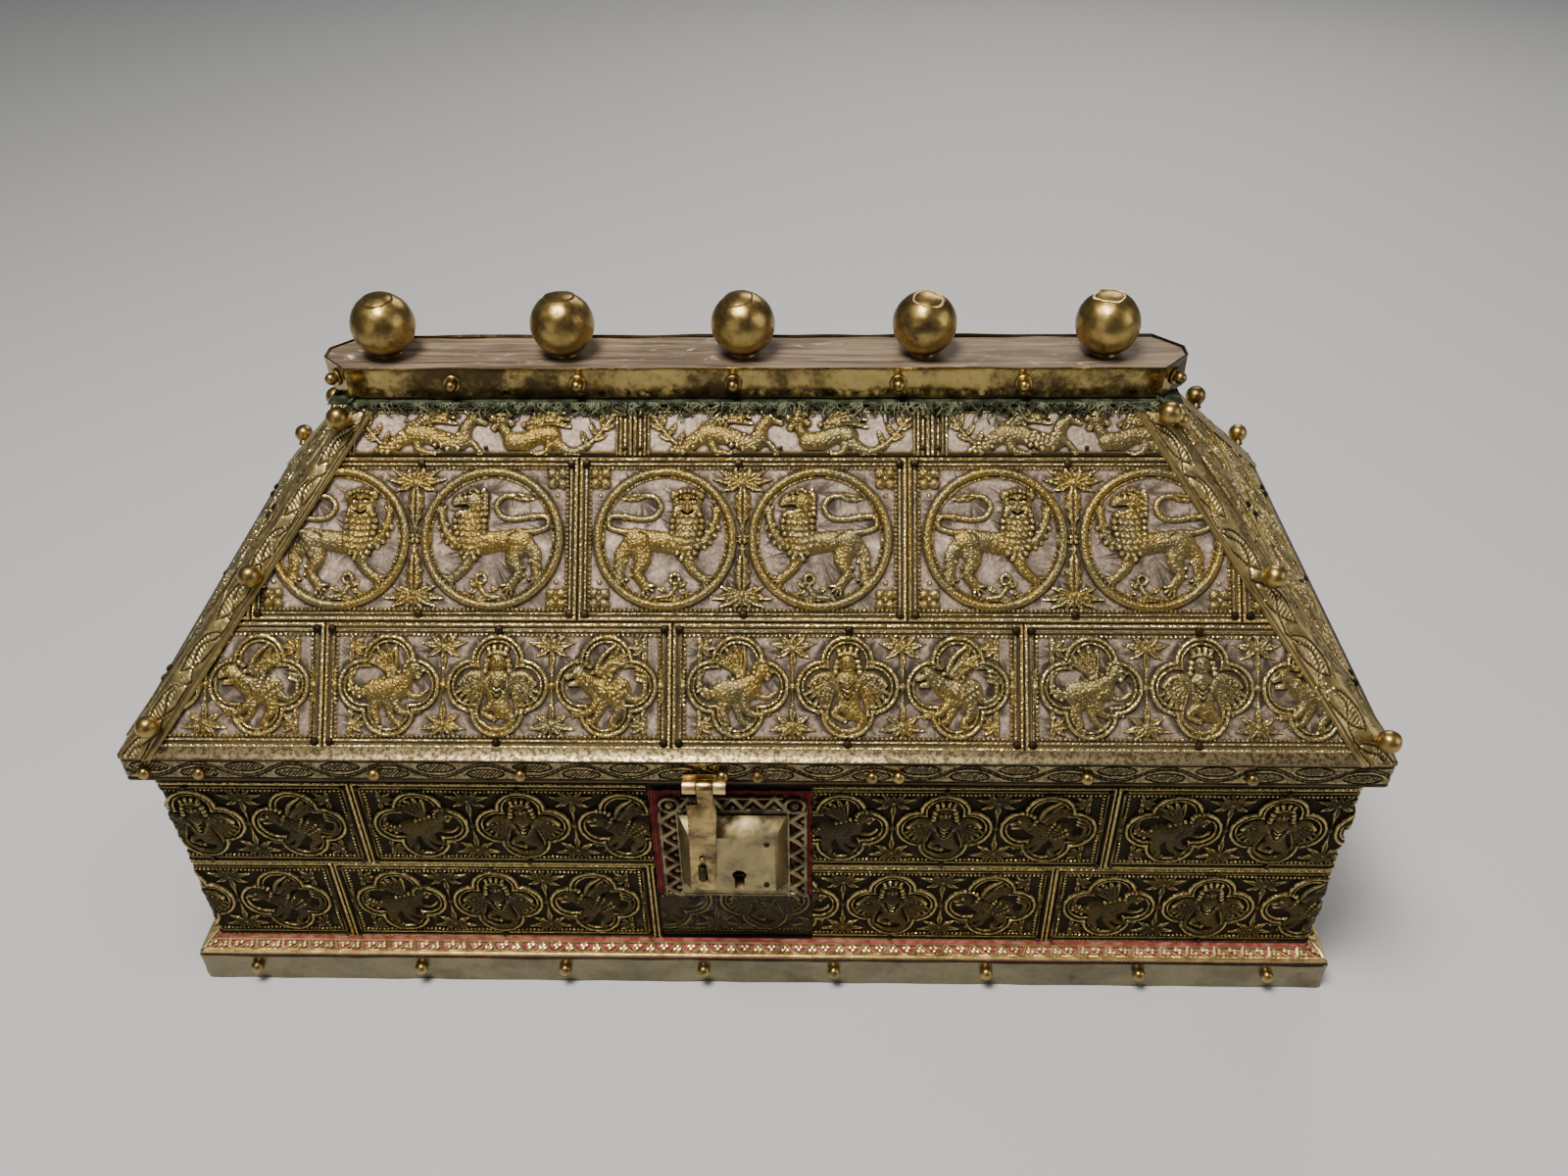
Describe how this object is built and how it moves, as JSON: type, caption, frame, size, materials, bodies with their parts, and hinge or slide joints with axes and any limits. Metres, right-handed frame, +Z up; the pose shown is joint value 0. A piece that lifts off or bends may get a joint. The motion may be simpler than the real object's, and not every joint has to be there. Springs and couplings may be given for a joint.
{
  "type": "reliquary casket",
  "caption": "Oblong wooden casket with a hipped lid, covered in stamped brass plates and bands, with ball finials on its ridge and a front lock with a hinged hasp.",
  "frame": {"origin": "middle of the base board's underside", "axes": "+Z up, +X to the right along the casket's length as seen from the lock, the locked front faces -Y"},
  "size_m": [0.4386, 0.203, 0.2483],
  "materials": {
    "oak": "old dark oak, dry, with dull wear",
    "ridge_wood": "worn pinkish brown wood with pale scrapes and dark dirt in the grain",
    "stamped_brass": "stamped sheet brass, olive gold with bright worn peaks, brown patina in the hollows and a pale silvery pink ground",
    "wall_brass": "the same stamped sheet brass, darker with soot and patina",
    "engraved_brass": "engraved sheet brass with brown patina in the cuts",
    "openwork_brass": "cast or cut openwork strip, pale gold on the high points",
    "base_brass": "plain greyish strip with silver and gold patches",
    "bright_brass": "polished brass, slightly dented, brown where it was soldered",
    "hasp_brass": "handled brass, brighter over the bend",
    "lock_metal": "grey tinned metal with a yellow cast and dull scratches",
    "pink_textile": "faded pink woven braid, worn",
    "red_textile": "dark red woven cloth, faded to pink at its top edge",
    "green_textile": "grey green frayed textile"
  },
  "bodies": {
    "casket": {"base_board": "oak", "box": "oak", "lid": "oak", "ridge_board": "ridge_wood", "base_band": "base_brass", "rim_band": "engraved_brass", "hip_strip_front_left": "engraved_brass", "hip_strip_back_left": "engraved_brass", "hip_strip_front_right": "engraved_brass", "hip_strip_back_right": "engraved_brass", "zigzag_strip_front": "openwork_brass", "zigzag_strip_right": "openwork_brass", "zigzag_strip_back": "openwork_brass", "zigzag_strip_left": "openwork_brass", "wall_plates_lower_left": "wall_brass", "wall_plates_upper_left": "wall_brass", "wall_plates_lower_right": "wall_brass", "wall_plates_upper_right": "wall_brass", "wall_patch": "wall_brass", "front_quatrefoil_plates": "stamped_brass", "front_lion_plates": "stamped_brass", "front_dragon_plates": "stamped_brass", "back_quatrefoil_plates": "stamped_brass", "back_lion_plates": "stamped_brass", "back_dragon_plates": "stamped_brass", "left_quatrefoil_plates": "stamped_brass", "left_lion_plates": "stamped_brass", "left_dragon_plates": "stamped_brass", "right_quatrefoil_plates": "stamped_brass", "right_lion_plates": "stamped_brass", "right_dragon_plates": "stamped_brass", "hip_nail_front_left_1": "bright_brass", "hip_nail_front_left_2": "bright_brass", "hip_nail_front_left_3": "bright_brass", "hip_nail_back_left_1": "bright_brass", "hip_nail_back_left_2": "bright_brass", "hip_nail_back_left_3": "bright_brass", "hip_nail_front_right_1": "bright_brass", "hip_nail_front_right_2": "bright_brass", "hip_nail_front_right_3": "bright_brass", "hip_nail_back_right_1": "bright_brass", "hip_nail_back_right_2": "bright_brass", "hip_nail_back_right_3": "bright_brass", "ball_1": "bright_brass", "ball_2": "bright_brass", "ball_3": "bright_brass", "ball_4": "bright_brass", "ball_5": "bright_brass", "ridge_band": "bright_brass", "hasp_leaf": "bright_brass", "lock_plate": "lock_metal", "lock_box": "lock_metal", "lock_staple": "lock_metal", "hasp_pin": "lock_metal", "ledge_textile": "pink_textile", "lock_cloth": "red_textile", "fringe": "green_textile"},
    "hasp": {"hasp_strap": "hasp_brass"}
  },
  "joints": [
    {"name": "hasp_hinge", "type": "hinge", "parent": "casket", "child": "hasp", "pos_m": [-0.0158, -0.1014, 0.1151], "axis": [-1, 0, 0], "range_deg": [0, 160]}
  ]
}
